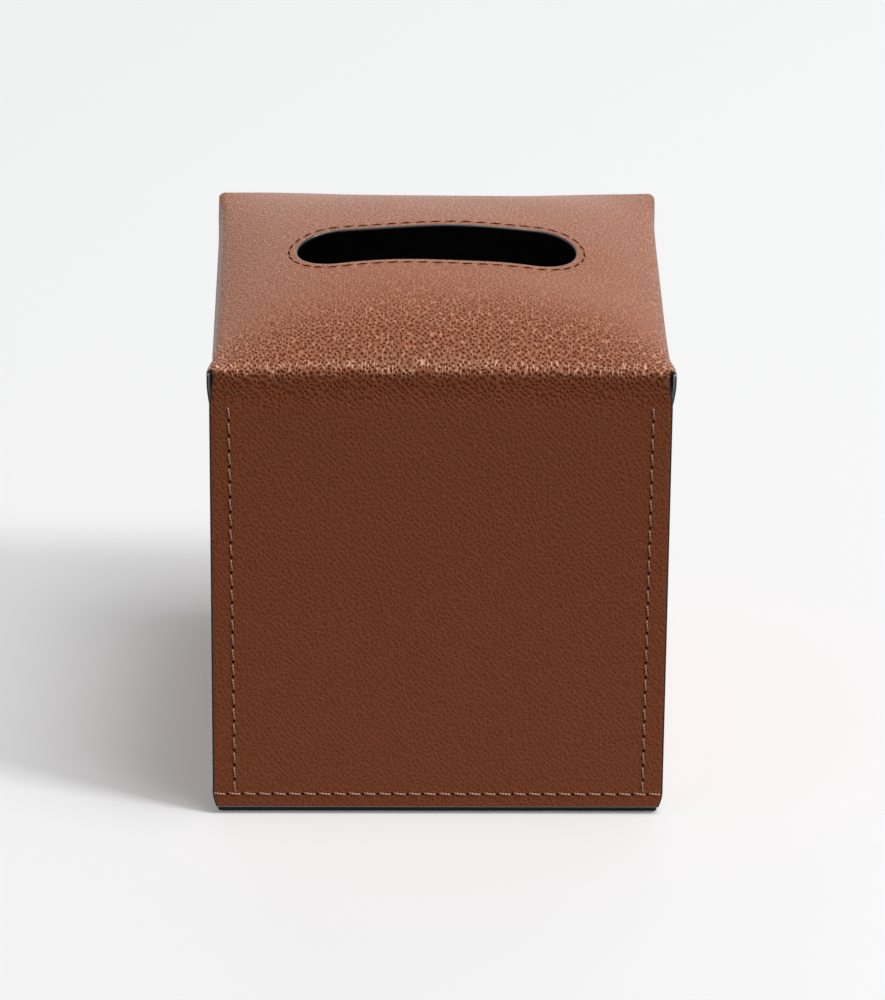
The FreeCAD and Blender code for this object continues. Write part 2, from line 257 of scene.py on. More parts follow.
class LeatherForm:
    """Where each point of the folded leather lies. Lengths are outer-face lengths."""

    def __init__(self, sizes):
        self.sizes = sizes
        self.half_width = COVER_HIGH.x
        self.half_depth = COVER_HIGH.y
        self.hem = COVER_LOW.z
        slot_share = sizes.slot_width / 2 / self.half_depth
        self.fold = COVER_HIGH.z - sizes.dome_rise * self.profile(slot_share)
        self.corner_x = self.half_width - sizes.corner_fold
        self.corner_y = self.half_depth - sizes.corner_fold
        for _ in range(SETTLING_ROUNDS):
            self.corner_x = self.side_start(self.corner_y, 1)[0]
            self.corner_y = self.front_start(self.corner_x, 1)[0]

    def profile(self, share):
        """The dome's outline from fold to fold: one in the middle, nothing at either fold."""
        return (1 - share ** 2) * (1 + self.sizes.dome_flatness * share ** 2)

    def profile_slope(self, share):
        """How fast the dome's outline falls."""
        flatness = self.sizes.dome_flatness
        return 2 * (flatness - 1) * share - 4 * flatness * share ** 3

    def top_height(self, x, y):
        """Height of the top before the leather settles."""
        swell = self.profile(x / self.half_width) * self.profile(y / self.half_depth)
        return self.fold + self.sizes.dome_rise * swell

    def fold_start(self, half, middle_radius, share, across):
        """How far out a fold begins, how steeply the top leans there, and the fold's radius.

        A fold is soft in its middle and tight at its ends.
        """
        radius = between(middle_radius, self.sizes.corner_fold, share ** TIGHT_ENDS)
        swell = self.sizes.dome_rise * self.profile(across)
        start, lean = half - radius, 0.0
        for _ in range(SETTLING_ROUNDS):
            lean = math.atan(-swell / half * self.profile_slope(start / half))
            start = half - radius * (1 - math.sin(lean))
        return start, lean, radius

    def front_start(self, x, share):
        """The start of the front or back fold at x, which is a share of the way to the corner."""
        return self.fold_start(self.half_depth, self.sizes.front_fold, share, x / self.half_width)

    def side_start(self, y, share):
        """The start of a side fold at y, which is a share of the way to the corner."""
        return self.fold_start(self.half_width, self.sizes.side_fold, share, y / self.half_depth)

    def arm_row(self, fold_start, half, height, row):
        """How far out and how high a row of an arm lies, and the leather's length from the middle."""
        start, lean, radius = fold_start
        arc_end = height - radius * math.cos(lean)
        turn = math.pi / 2 - lean
        if row <= ARC_ROWS:
            angle = lean + turn * row / ARC_ROWS
            out = start + radius * (math.sin(angle) - math.sin(lean))
            z = height - radius * (math.cos(lean) - math.cos(angle))
            return out, z, start + radius * (angle - lean)
        z = self.row_height(arc_end, row - ARC_ROWS)
        return half, z, start + (radius * turn + arc_end - z)

    def row_height(self, arc_end, row):
        """The height of a row below the fold's arc: close rows at the ear and the hem, wide ones between."""
        ear_end = self.fold - self.sizes.ear_height
        hem_start = self.hem + HEM_ROWS * HEM_ROW_HEIGHT
        if row <= EAR_ROWS:
            return between(arc_end, ear_end, row / EAR_ROWS)
        if row <= EAR_ROWS + WALL_ROWS:
            return between(ear_end, hem_start, (row - EAR_ROWS) / WALL_ROWS)
        return between(hem_start, self.hem, (row - EAR_ROWS - WALL_ROWS) / HEM_ROWS)

    def ear(self, x, y, z):
        """How far the side stands out at a corner."""
        depth = self.fold - z
        ear = self.sizes.left_ear if x < 0 else self.sizes.right_ear
        if y > 0:
            ear *= BACK_EAR_SHARE
        return ear * ease(*EAR_OPENS, depth) * (1 - ease(*EAR_CLOSES, depth))

    def leaf(self, z):
        """How much narrower the front or back is beside the ear."""
        return self.sizes.leaf_narrowing * (1 - ease(*LEAF_WIDENS, self.fold - z))

    def taper(self, z):
        """How far the bottom corners are drawn in at a height."""
        share = max(0.0, 1 - (z - self.hem) / TAPER_REACH)
        return self.sizes.hem_taper * share ** TAPER_POWER

    def settled(self, point):
        """A point once the leather has settled: the folds drawn in, the back sagging, the lips uneven."""
        sizes = self.sizes
        x, y, z = point
        share_x, share_y = x / self.half_width, y / self.half_depth
        hold = 1 - ease(*SETTLING_ENDS, self.fold - z)
        side_draw = sizes.left_draw if x < 0 else sizes.right_draw
        end_draw = sizes.front_draw if y < 0 else sizes.back_draw
        along_side = max(0.0, 1 - share_y ** ALONG_FOLD)
        along_front = max(0.0, 1 - share_x ** ALONG_FOLD)
        x -= math.copysign(side_draw * along_side * share_x ** NEAR_FOLD * hold, x)
        y -= math.copysign(end_draw * along_front * share_y ** NEAR_FOLD * hold, y)
        if point[1] > 0:
            hang = (1 - (share_x - SAG_SHIFT) ** 2) ** 2
            z += sizes.back_lift * share_y ** NEAR_FOLD * hold
            corner = (share_x * share_y) ** NEAR_CORNER * hold
            x -= math.copysign(sizes.back_round * corner, x)
            y -= sizes.back_round * corner
            eased = 1 - SAG_EASING * share_y ** SAG_EASES
            z -= sizes.back_sag * hang * share_y ** SAG_REACHES * eased * hold
        for centre, reach, rise in LIP_SETTLING:
            z += rise * (1 - ease(0, reach, math.dist(point[:2], centre))) * hold
        return Vector((x, y, z))

    def top_point(self, column, ring):
        """A point of the top. The columns run round the slot, and the rings from the slot to the folds."""
        share = column / (4 * TOP_COLUMNS)
        inner = stadium_point(share, self.sizes.slot_length, self.sizes.slot_width)
        inner.x += self.sizes.slot_shift
        sideways, way, along = square_share(share)
        if sideways:
            y = along * self.corner_y
            outer = Vector((way * self.side_start(y, abs(along))[0], y))
        else:
            x = along * self.corner_x
            outer = Vector((x, way * self.front_start(x, abs(along))[0]))
        place = inner.lerp(outer, ring / TOP_RINGS)
        height = self.top_height(place.x, place.y)
        return self.settled((place.x, place.y, height)), place

    def front_point(self, side, column, row):
        """A point of the front or back arm."""
        along = 2 * column / TOP_COLUMNS - 1
        x = along * self.corner_x
        start = self.front_start(x, abs(along))
        out, z, length = self.arm_row(start, self.half_depth, self.top_height(x, start[0]), row)
        edge = self.half_width - self.leaf(z) - self.taper(z)
        x = along * between(self.corner_x, edge, ease(*ARM_WIDENS, self.fold - z))
        return self.settled((x, side * out, z)), Vector((x, side * length))

    def near_corner(self, y, distances):
        """Nothing further from a corner than the first distance, and one nearer than the second."""
        return ease(self.half_depth - distances[0], self.half_depth - distances[1], abs(y))

    def side_row(self, side, along, row):
        """A point of a side arm before its end is turned in, with the leather's length from the middle."""
        y = along * self.corner_y
        start = self.side_start(y, abs(along))
        out, z, length = self.arm_row(start, self.half_width, self.top_height(start[0], y), row)
        bend_start = self.half_depth - self.sizes.thickness - self.sizes.flange_gap - self.sizes.flange_bend
        y = along * between(self.corner_y, bend_start, ease(*ARM_WIDENS, self.fold - z))
        out += self.ear(side, y, z) * self.near_corner(y, EAR_NEARS)
        out -= self.taper(z) * self.near_corner(y, TAPER_NEARS)
        return out, y, z, length

    def side_point(self, side, column, row):
        """A point of the left or right arm."""
        out, y, z, length = self.side_row(side, 2 * column / TOP_COLUMNS - 1, row)
        return self.settled((side * out, y, z)), Vector((side * length, y))

    def bend_point(self, side, end, column, row):
        """A point of a side arm's end. At the top it runs on straight as the ear, lower it turns in."""
        out, y, z, length = self.side_row(side, end, row)
        depth = self.fold - z
        turn = between(EAR_TURN, math.pi / 2, ease(BEND_START, self.sizes.ear_height, depth))
        flange_out = self.half_depth - self.sizes.thickness - self.sizes.flange_gap
        reach_out = between(self.half_depth - EAR_INSET, flange_out, ease(*EAR_TUCKS_IN, depth))
        rounded = math.sin(math.pi / 2 * min(1.0, max(0.0, depth / EAR_TOP_ROUND)))
        reach = (reach_out - abs(y)) * rounded
        share = column / BEND_COLUMNS
        x = out - reach * (1 - math.cos(turn * share)) / math.sin(turn)
        y += end * reach * math.sin(turn * share) / math.sin(turn)
        blank = Vector((side * length, y + end * share * reach * (turn / math.sin(turn) - 1)))
        return self.settled((side * x, y, z)), blank

    def flange_point(self, side, end, column, row):
        """A point of a flange, behind the front or back arm."""
        bend, blank = self.bend_point(side, end, BEND_COLUMNS, row + ARC_ROWS + EAR_ROWS)
        reach = (self.sizes.flange_reach - self.sizes.flange_bend) * column / FLANGE_COLUMNS
        return bend - Vector((side * reach, 0, 0)), blank + Vector((0, end * reach))

    def is_slit_tip(self, point):
        """Whether a point is where a corner's slit closes, too narrow there for its edges to be rounded."""
        reach, depth = SLIT_TIP
        near = abs(point.x) > self.half_width - reach and abs(point.y) > self.half_depth - reach
        return near and point.z > self.fold - depth

    def rim_finish(self, point, rounded):
        """The material slot of a raw edge, or of its rounding."""
        sizes = self.sizes
        slot_end = sizes.slot_length / 2 + abs(sizes.slot_shift) + sizes.edge_round
        if abs(point.x) < slot_end and abs(point.y) < sizes.slot_width:
            return SLOT_PAINT
        # The rounding at the hem and the flat middle of the raw edges take the painted highlight
        if rounded:
            return EDGE_HIGHLIGHT if point.z < self.hem + sizes.edge_round else PAINT
        return PAINT if self.is_slit_tip(point) else EDGE_HIGHLIGHT

    def top_normal(self, x, y):
        """The direction that the top faces at a place."""
        step = 0.2 * MM
        across = self.top_height(x + step, y) - self.top_height(x - step, y)
        along = self.top_height(x, y + step) - self.top_height(x, y - step)
        return Vector((-across, -along, 2 * step)).normalized()


def stadium_point(share, length, width):
    """A place on the outline of a slot with round ends, going round from the middle of its right end."""
    radius = width / 2
    straight = length - width
    perimeter = 2 * straight + 2 * math.pi * radius
    quarter = math.pi * radius / 2
    distance = (share % 1) * perimeter
    if distance > perimeter - quarter:
        distance -= perimeter
    if distance < quarter:
        angle = distance / radius
        return Vector((straight / 2 + radius * math.cos(angle), radius * math.sin(angle)))
    if distance < quarter + straight:
        return Vector((straight / 2 - (distance - quarter), radius))
    if distance < 3 * quarter + straight:
        angle = math.pi / 2 + (distance - quarter - straight) / radius
        return Vector((-straight / 2 + radius * math.cos(angle), radius * math.sin(angle)))
    return Vector((-straight / 2 + distance - 3 * quarter - straight, -radius))


def square_share(share):
    """Where a share of the way round a square lies, counted from the middle of its right side.

    Whether that is on the left or right, on which end of the axis, and how far along, from -1 to 1.
    """
    turn = (share * 4 + 0.5) % 4
    sideways, way, ahead = ((True, 1, 1), (False, 1, -1), (True, -1, -1), (False, -1, 1))[int(turn)]
    return sideways, way, ahead * (2 * (turn % 1) - 1)


# Meshes

def mapped_grid(bm, blank_layer, columns, rows, place):
    """A grid of faces, each of whose points goes where place says for its column and row."""
    made = bmesh.ops.create_grid(bm, x_segments=columns, y_segments=rows, size=0.5)
    for vert in made["verts"]:
        column = round((vert.co.x + 0.5) * columns)
        row = round((vert.co.y + 0.5) * rows)
        point, blank = place(column, row)
        vert.co = point
        vert[blank_layer] = (blank.x, blank.y, 0)


def mesh_from(bm, name):
    """Turn a bmesh into a mesh, and let the bmesh go."""
    mesh = bpy.data.meshes.new(name)
    bm.to_mesh(mesh)
    bm.free()
    return mesh


def linked(name, data):
    """A new object in the scene."""
    made = bpy.data.objects.new(name, data)
    bpy.context.scene.collection.objects.link(made)
    return made


def write_map(bm, where):
    """Write the texture map that the materials read. Where gives the place of each point."""
    flat = bm.loops.layers.uv.new("blank")
    for face in bm.faces:
        for loop in face.loops:
            loop[flat].uv = where(loop.vert)


def add_object(name, bm, materials, body):
    """Turn a bmesh into a piece that rides on a body and takes its finish from a slot."""
    mesh = mesh_from(bm, name)
    for material in materials:
        mesh.materials.append(material)
    mesh.shade_smooth()
    piece = linked(name, mesh)
    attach(piece, body)
    return piece


def folded_sheet(form):
    """The outer face of the leather as one open sheet, welded from the top and its four arms."""
    bm = bmesh.new()
    blank = bm.verts.layers.float_vector.new("blank")
    mapped_grid(bm, blank, 4 * TOP_COLUMNS, TOP_RINGS, form.top_point)
    for side in SIDES:
        mapped_grid(bm, blank, TOP_COLUMNS, ARM_ROWS, partial(form.front_point, side))
        mapped_grid(bm, blank, TOP_COLUMNS, ARM_ROWS, partial(form.side_point, side))
        for end in SIDES:
            mapped_grid(bm, blank, BEND_COLUMNS, ARM_ROWS, partial(form.bend_point, side, end))
            mapped_grid(bm, blank, FLANGE_COLUMNS, FLANGE_ROWS, partial(form.flange_point, side, end))
    bmesh.ops.remove_doubles(bm, verts=bm.verts, dist=WELD)
    bmesh.ops.dissolve_degenerate(bm, dist=WELD, edges=bm.edges)
    bmesh.ops.recalc_face_normals(bm, faces=bm.faces)
    if max(bm.faces, key=lambda face: face.calc_center_median().z).normal.z < 0:
        bmesh.ops.reverse_faces(bm, faces=bm.faces)
    return bm


def thickened(bm, form):
    """Give the sheet its thickness, round the raw edges, and give every face its material slot."""
    outer = set(bm.verts)
    bmesh.ops.solidify(bm, geom=bm.faces[:], thickness=form.sizes.thickness)
    rim = set()
    for face in bm.faces:
        outside = sum(vert in outer for vert in face.verts)
        if outside == 0:
            face.material_index = BACKING
        elif outside < len(face.verts):
            face.material_index = form.rim_finish(face.calc_center_median(), False)
            rim.add(face)
    corners = [
        edge for edge in bm.edges
        if sum(face in rim for face in edge.link_faces) == 1
        and not form.is_slit_tip((edge.verts[0].co + edge.verts[1].co) / 2)
    ]
    made = bmesh.ops.bevel(
        bm, geom=corners, offset=form.sizes.edge_round, offset_type="OFFSET", segments=3, profile=0.5,
        affect="EDGES", clamp_overlap=False, material=-1)
    for face in made["faces"]:
        face.material_index = form.rim_finish(face.calc_center_median(), True)
    return bm


# Stitches

THREAD_SIDES, THREAD_STEPS = 7, 6
GROOVE_SIDES = 14

# How far a thread's middle line stands over the leather at the crown of its bow, in radii
THREAD_LIFT = 0.3

# Half a groove and half a hole: shares of a stitch's length, and of its thread's radius
GROOVE_SHARES = (0.54, 2.2)
HOLE_SHARES = (0.18, 1.8)

# How far the painted shade of the grooves and the holes lies over the leather, and how dark it is
GROOVE_LIFT = 0.02 * MM
HOLE_LIFT = 0.04 * MM
GROOVE_DARKNESS = 0.85
HOLE_DARKNESS = 1.0

# A seam drifts inwards as if it had begun above its top, by this share of its own length
DRIFT_START = -0.3


def stitch_pattern(chord, bow, radius):
    """One stitch along X: a round thread that bows up between two holes. Its map runs along and around."""
    arc = chord ** 2 / (8 * bow) + bow / 2
    sweep = 2 * math.asin(chord / 2 / arc)

    def along_and_around(vert):
        lean = math.atan2(vert.co.x, vert.co.z)
        height = math.hypot(vert.co.x, vert.co.z) - arc
        return lean * arc, math.atan2(vert.co.y, height) / (2 * math.pi)

    bm = bmesh.new()
    turned = Matrix.Rotation(math.pi / 2, 4, "Y")
    bmesh.ops.create_circle(bm, segments=THREAD_SIDES, radius=radius, matrix=turned)
    start = Matrix.Rotation(-sweep / 2, 4, "Y") @ Matrix.Translation((0, 0, arc))
    bmesh.ops.transform(bm, matrix=start, verts=bm.verts)
    bmesh.ops.spin(
        bm, geom=bm.verts[:] + bm.edges[:], cent=(0, 0, 0), axis=(0, 1, 0), angle=sweep,
        steps=THREAD_STEPS)
    write_map(bm, along_and_around)
    bmesh.ops.recalc_face_normals(bm, faces=bm.faces)
    bmesh.ops.translate(bm, vec=(0, 0, THREAD_LIFT * radius - arc), verts=bm.verts)
    return mesh_from(bm, "stitch_pattern")


def pressed_pattern(length, radius, shares):
    """An oval along X, painted with the shade where the thread has pressed the leather in. Its map runs from
    -1 to 1.
    """
    bm = bmesh.new()
    bmesh.ops.create_circle(bm, cap_ends=True, cap_tris=True, segments=GROOVE_SIDES, radius=1)
    write_map(bm, lambda vert: vert.co.xy)
    bmesh.ops.scale(bm, vec=(shares[0] * length, shares[1] * radius, 1), verts=bm.verts)
    return mesh_from(bm, "pressed_pattern")


def placed(point, along, normal, slant):
    """The matrix that lays a pattern at a point, its X along a row and its Z out of the surface."""
    out = normal.normalized()
    ahead = (along - out * along.dot(out)).normalized()
    turned = Matrix((ahead, out.cross(ahead), out)).transposed().to_4x4()
    return Matrix.Translation(point) @ turned @ Matrix.Rotation(slant, 4, "Z")


def laid(pattern, places, lift=0.0):
    """Copies of a pattern at every place, lifted off the surface there, in one bmesh."""
    bm = bmesh.new()
    lifted = Matrix.Translation((0, 0, lift))
    for place in places:
        before = len(bm.verts)
        bm.from_mesh(pattern)
        bm.verts.ensure_lookup_table()
        bmesh.ops.transform(bm, matrix=place @ lifted, verts=bm.verts[before:])
    return bm


def row_of_stitches(name, size, thread, places, hole_places):
    """A row's thread, the painted shade of the grooves it lies in and, where it has any, of its needle
    holes: a piece of each.
    """
    length, bow, radius = size
    add_object(name, laid(stitch_pattern(length, bow, radius), places), [thread], "cover")
    groove = laid(pressed_pattern(length, radius, GROOVE_SHARES), places, GROOVE_LIFT)
    shade = pressed_material("stitch_groove", GROOVE_DARKNESS)
    add_object(name + "_grooves", groove, [shade], "cover")
    if hole_places:
        holes = laid(pressed_pattern(length, radius, HOLE_SHARES), hole_places, HOLE_LIFT)
        dark = pressed_material("stitch_hole", HOLE_DARKNESS)
        add_object(name + "_holes", holes, [dark], "cover")


# Materials

# The grain. Its scales and stretches are in waves to a pit's spacing
PIT_SPACING = 1.32 * MM
WANDER_SCALE = 0.22
WANDER_REACH = (1.5, 1.5, 0)
ROW_SQUEEZE = (1.0, 0.88, 1)
ROW_TURN = math.pi / 4
PIT_DISORDER = 0.6
PIT_REACH = (0.08, 0.40)
HOLLOW_REACH = (0.0, 0.55)
FINE_SCALE = 2.0
DEPTH_SCALE = 0.7
DEPTHS = (0.4, 1.6)
CREST_STRETCH = (2.8, 0.42, 1)
CREST_LEVELS = (0.48, 0.64)
CLOUD_SCALE = 0.05
FINE_RELIEF, CREST_RELIEF = 0.35, 0.5
FINE_TONE, CREST_TONE, CLOUD_TONE = 0.5, 0.4, 0.1
TONE_LEVELS = (0.41, 0.59)

# Where the leather's look changes, as distances beyond the edge of the top
WALL_BEGINS = (3 * MM, 13 * MM)
FOLD_TURNS = (-1 * MM, 4 * MM)
# FOLD_SHINES is the band along the front fold that carries the painted glint
FOLD_SHINES = (-5 * MM, -1.5 * MM)

# Where the grain's contrast rises, as distances from the middle to the front, and how much further at the
# sides. There the pits grow deeper, their painted shade darker, and the painted highlights on the crests
# stronger
CONTRAST_RISES = (24 * MM, 52 * MM)
CONTRAST_LATER = 16 * MM

# How strong the grain's contrast is before and after that, and what differs between the top, the walls and
# the fold: the painted highlight on the crests is strongest on the top and the fold, and the pits on the
# walls are painted lighter, with less painted shade
CONTRAST_SHARES = (0.29, 0.96)
TONE_SPREAD = (1.0, 0.4)
WALL_TONE = 0.3
DARK_SHARES = (0.75, 0.68)
CREST_HIGHLIGHTS = (0.75, 0.05)
FOLD_HIGHLIGHT = 0.25
WALL_PIT = 1.8

# The gloss: roughness on the ridges and in the pits, and what the coat loses on the walls and in the pits
ROUGHNESS = (0.34, 0.89)
COAT = 0.65
WALL_LOSS, PIT_LOSS = 0.25, 1.1

# The thread's twist, how dark the painted shade between its plies is, and where the painted shade of a
# pressed place fades out
TWIST_LENGTH = 0.87 * MM
PLY_SHADE = 0.28
PRESSED_FADES = (0.35, 1.0)


def new_material(name):
    """An empty material, with its tree and its shader."""
    material = bpy.data.materials.new(name)
    material.use_nodes = True
    return material, material.node_tree, material.node_tree.nodes["Principled BSDF"]


def put(tree, node, socket, value):
    """Set an input to a value, or link it if the value is another node's output."""
    if isinstance(value, bpy.types.NodeSocket):
        tree.links.new(value, node.inputs[socket])
    else:
        node.inputs[socket].default_value = value


def add_node(tree, kind, settings=None, **inputs):
    """Add a node, set its settings, and set or link its inputs by name."""
    node = tree.nodes.new(kind)
    for name, setting in (settings or {}).items():
        setattr(node, name, setting)
    for name, value in inputs.items():
        put(tree, node, name.replace("_", " "), value)
    return node


def worked_out(tree, kind, operation, values):
    """A node that works something out from values, which it takes in order."""
    node = add_node(tree, kind, {"operation": operation})
    for number, value in enumerate(values):
        put(tree, node, number, value)
    return node


def maths(tree, operation, *values):
    """A Math node's result."""
    return worked_out(tree, "ShaderNodeMath", operation, values).outputs[0]


def times(tree, first, second):
    """The product of two values."""
    return maths(tree, "MULTIPLY", first, second)


def scaled(tree, value, factor, more):
    """A value times a factor, and some more."""
    return maths(tree, "MULTIPLY_ADD", value, factor, more)


def graded(tree, share, start, end):
    """A value that goes from start to end as a share goes from nothing to one."""
    return scaled(tree, share, end - start, start)


def left_over(tree, share):
    """What a share leaves of one."""
    return maths(tree, "SUBTRACT", 1.0, share)


def vectors(tree, operation, *values):
    """A Vector Math node's result, where that is a vector."""
    return worked_out(tree, "ShaderNodeVectorMath", operation, values).outputs["Vector"]


def length_of(tree, vector):
    """The length of a vector."""
    return worked_out(tree, "ShaderNodeVectorMath", "LENGTH", [vector]).outputs["Value"]


def parts_of(tree, vector):
    """The three parts of a vector."""
    return list(add_node(tree, "ShaderNodeSeparateXYZ", Vector=vector).outputs)


def ramp(tree, value, low, high):
    """A smooth step from low to high."""
    smooth = {"interpolation_type": "SMOOTHSTEP"}
    return add_node(
        tree, "ShaderNodeMapRange", smooth, Value=value, From_Min=low, From_Max=high).outputs["Result"]


def mixed(tree, share, first, second):
    """A colour part of the way between two."""
    node = add_node(tree, "ShaderNodeMix", {"data_type": "RGBA"}, Factor=share)
    for socket, colour in ((6, first), (7, second)):
        put(tree, node, socket, colour if isinstance(colour, bpy.types.NodeSocket) else (*colour, 1))
    return node.outputs[2]


def shaded(colour, share):
    """A colour made darker or lighter."""
    return tuple(min(1.0, share * part) for part in colour)


def blank_place(tree):
    """Where a point lies on the map that the pieces carry."""
    return add_node(tree, "ShaderNodeUVMap", {"uv_map": "blank"}).outputs[0]


def object_place(tree):
    """Where a point lies in the object's own coordinates."""
    return add_node(tree, "ShaderNodeTexCoord").outputs["Object"]


def noise(tree, place, scale, detail, dimensions="2D"):
    """A noise node."""
    return add_node(
        tree, "ShaderNodeTexNoise", {"noise_dimensions": dimensions},
        Vector=place, Scale=scale, Detail=detail)


def finish(tree, shader, colour, roughness, ior, relief, strength, depth):
    """Give a shader its colour, its gloss and its relief."""
    put(tree, shader, "Base Color", colour)
    put(tree, shader, "Roughness", roughness)
    put(tree, shader, "IOR", ior)
    bump = add_node(tree, "ShaderNodeBump", Strength=strength, Distance=depth, Height=relief)
    put(tree, shader, "Normal", bump.outputs[0])


def pebbled_grain_group():
    """The printed grain: staggered rows of small pits between low ridges, measured on the flat blank."""
    found = bpy.data.node_groups.get("pebbled_grain")
    if found:
        return found
    group = bpy.data.node_groups.new("pebbled_grain", "ShaderNodeTree")
    group.interface.new_socket(name="Place", in_out="INPUT", socket_type="NodeSocketVector")
    for name in ("Pit spacing", "Open"):
        group.interface.new_socket(name=name, in_out="INPUT", socket_type="NodeSocketFloat")
    for name in ("Height", "Pits", "Crests", "Tone"):
        group.interface.new_socket(name=name, in_out="OUTPUT", socket_type="NodeSocketFloat")
    inside, outside = group.nodes.new("NodeGroupInput"), group.nodes.new("NodeGroupOutput")
    contrast = inside.outputs["Open"]

    place = add_node(
        group, "ShaderNodeVectorMath", {"operation": "SCALE"}, Vector=inside.outputs["Place"],
        Scale=maths(group, "DIVIDE", 1.0, inside.outputs["Pit spacing"])).outputs["Vector"]
    wander = noise(group, place, WANDER_SCALE, 1.0).outputs["Color"]
    bent = vectors(group, "MULTIPLY_ADD", wander, WANDER_REACH, place)
    turned = add_node(
        group, "ShaderNodeVectorRotate", {"rotation_type": "Z_AXIS"},
        Vector=vectors(group, "MULTIPLY", bent, ROW_SQUEEZE), Angle=ROW_TURN)
    cells = add_node(
        group, "ShaderNodeTexVoronoi", {"voronoi_dimensions": "2D", "feature": "F1"},
        Vector=turned.outputs[0], Scale=1.0, Randomness=PIT_DISORDER)
    from_pit = cells.outputs["Distance"]
    fine = noise(group, place, FINE_SCALE, 3.0).outputs[0]
    uneven = noise(group, place, DEPTH_SCALE, 1.0).outputs[0]
    ridges = noise(group, vectors(group, "MULTIPLY", bent, CREST_STRETCH), 1.0, 1.0).outputs[0]
    cloud = noise(group, place, CLOUD_SCALE, 3.0).outputs[0]

    # The contrast input deepens the pits in the relief, and darkens the painted shade in them and
    # strengthens the painted highlight on the crests
    depth = times(group, graded(group, uneven, *DEPTHS), contrast)
    hollow = times(group, left_over(group, ramp(group, from_pit, *HOLLOW_REACH)), depth)
    pit = times(group, left_over(group, ramp(group, from_pit, *PIT_REACH)), depth)
    crest = times(group, ramp(group, ridges, *CREST_LEVELS), contrast)
    crest = times(group, crest, left_over(group, pit))
    relief = scaled(group, fine, FINE_RELIEF, left_over(group, hollow))
    height = scaled(group, crest, CREST_RELIEF, relief)
    mottle = scaled(group, fine, FINE_TONE, times(group, ridges, CREST_TONE))
    tone = scaled(group, cloud, CLOUD_TONE, mottle)
    # Pits and Crests also serve as masks for the painted shade in the pits and the painted highlight on the
    # crests
    for name, result in (("Height", height), ("Pits", pit), ("Crests", crest), ("Tone", tone)):
        put(group, outside, name, result)
    return group


def leather_material(colours):
    """Brown leather, satin on its ridges, with painted highlights on its crests, brightest on the front
    fold, and painted shade in its pits, both strongest near the front, where its pits are deepest too.
    """
    material, tree, shader = new_material("brown_leather")
    place = blank_place(tree)
    across, along, _ = parts_of(tree, place)
    from_middle = maths(tree, "MAXIMUM", maths(tree, "ABSOLUTE", across), maths(tree, "ABSOLUTE", along))

    def beyond_edge(near, far):
        return ramp(tree, from_middle, COVER_HIGH.x + near, COVER_HIGH.x + far)

    wall = beyond_edge(*WALL_BEGINS)
    over_fold = beyond_edge(*FOLD_TURNS)
    on_fold = times(tree, beyond_edge(*FOLD_SHINES), left_over(tree, over_fold))

    share = maths(tree, "DIVIDE", across, COVER_HIGH.x)
    later = times(tree, times(tree, share, share), CONTRAST_LATER)
    to_front = maths(tree, "SUBTRACT", times(tree, along, -1.0), later)
    # drawn holds the contrast mask: deeper pits, darker painted shade in them and stronger painted highlight
    # on the crests towards the front
    drawn = times(tree, ramp(tree, to_front, *CONTRAST_RISES), left_over(tree, wall))
    grain = add_node(
        tree, "ShaderNodeGroup", {"node_tree": pebbled_grain_group()},
        Place=place, Pit_spacing=PIT_SPACING, Open=graded(tree, drawn, *CONTRAST_SHARES))
    pits, crests = grain.outputs["Pits"], grain.outputs["Crests"]

    tone = ramp(tree, grain.outputs["Tone"], *TONE_LEVELS)
    tone = scaled(tree, tone, graded(tree, wall, *TONE_SPREAD), times(tree, wall, WALL_TONE))
    # The top takes the yellower copy of the leather, whose tint is painted sheen, and the walls the plain
    # leather
    plain = mixed(tree, over_fold, colours.leather_top, colours.leather)
    top_dark, wall_dark = DARK_SHARES
    dark = mixed(tree, over_fold, shaded(colours.leather_top, top_dark), shaded(colours.leather, wall_dark))
    # Painted highlight on the crests: strong on the top, faint on the walls, more on the front fold
    highlighted = times(tree, crests, graded(tree, over_fold, *CREST_HIGHLIGHTS))
    highlighted = scaled(tree, times(tree, on_fold, FOLD_HIGHLIGHT), crests, highlighted)
    # The crests on the fold take the painted glint, the others the painted crest highlight
    crest = mixed(tree, on_fold, colours.leather_crest, colours.leather_glint)
    ridge = mixed(tree, highlighted, mixed(tree, tone, dark, plain), crest)
    # Painted shade in the pits, partly their own darker colour: darker on the top, painted lighter on the
    # walls where less shade falls
    pit = mixed(tree, over_fold, colours.leather_pit, shaded(colours.leather_pit, WALL_PIT))
    finish(
        tree, shader, mixed(tree, pits, ridge, pit), roughness=graded(tree, pits, *ROUGHNESS), ior=1.12,
        relief=grain.outputs["Height"], strength=1.0, depth=0.5 * MM)
    bare = scaled(tree, over_fold, WALL_LOSS, times(tree, pits, PIT_LOSS))
    coat = maths(tree, "MAXIMUM", maths(tree, "SUBTRACT", COAT, bare), 0.0)
    put(tree, shader, "Coat Weight", coat)
    put(tree, shader, "Coat Roughness", 0.42)
    put(tree, shader, "Coat IOR", 1.36)
    return material


def speckled_material(name, colour, roughness, scale, depth, spread=0.35, ior=1.3):
    """A plain finish with fine uneven colour and relief, by the object's own coordinates."""
    material, tree, shader = new_material(name)
    fine = noise(tree, object_place(tree), scale, 4.0, "3D").outputs[0]
    speckles = mixed(tree, fine, shaded(colour, 1 - spread), shaded(colour, 1 + spread))
    finish(tree, shader, speckles, roughness, ior, relief=fine, strength=0.4, depth=depth)
    return material


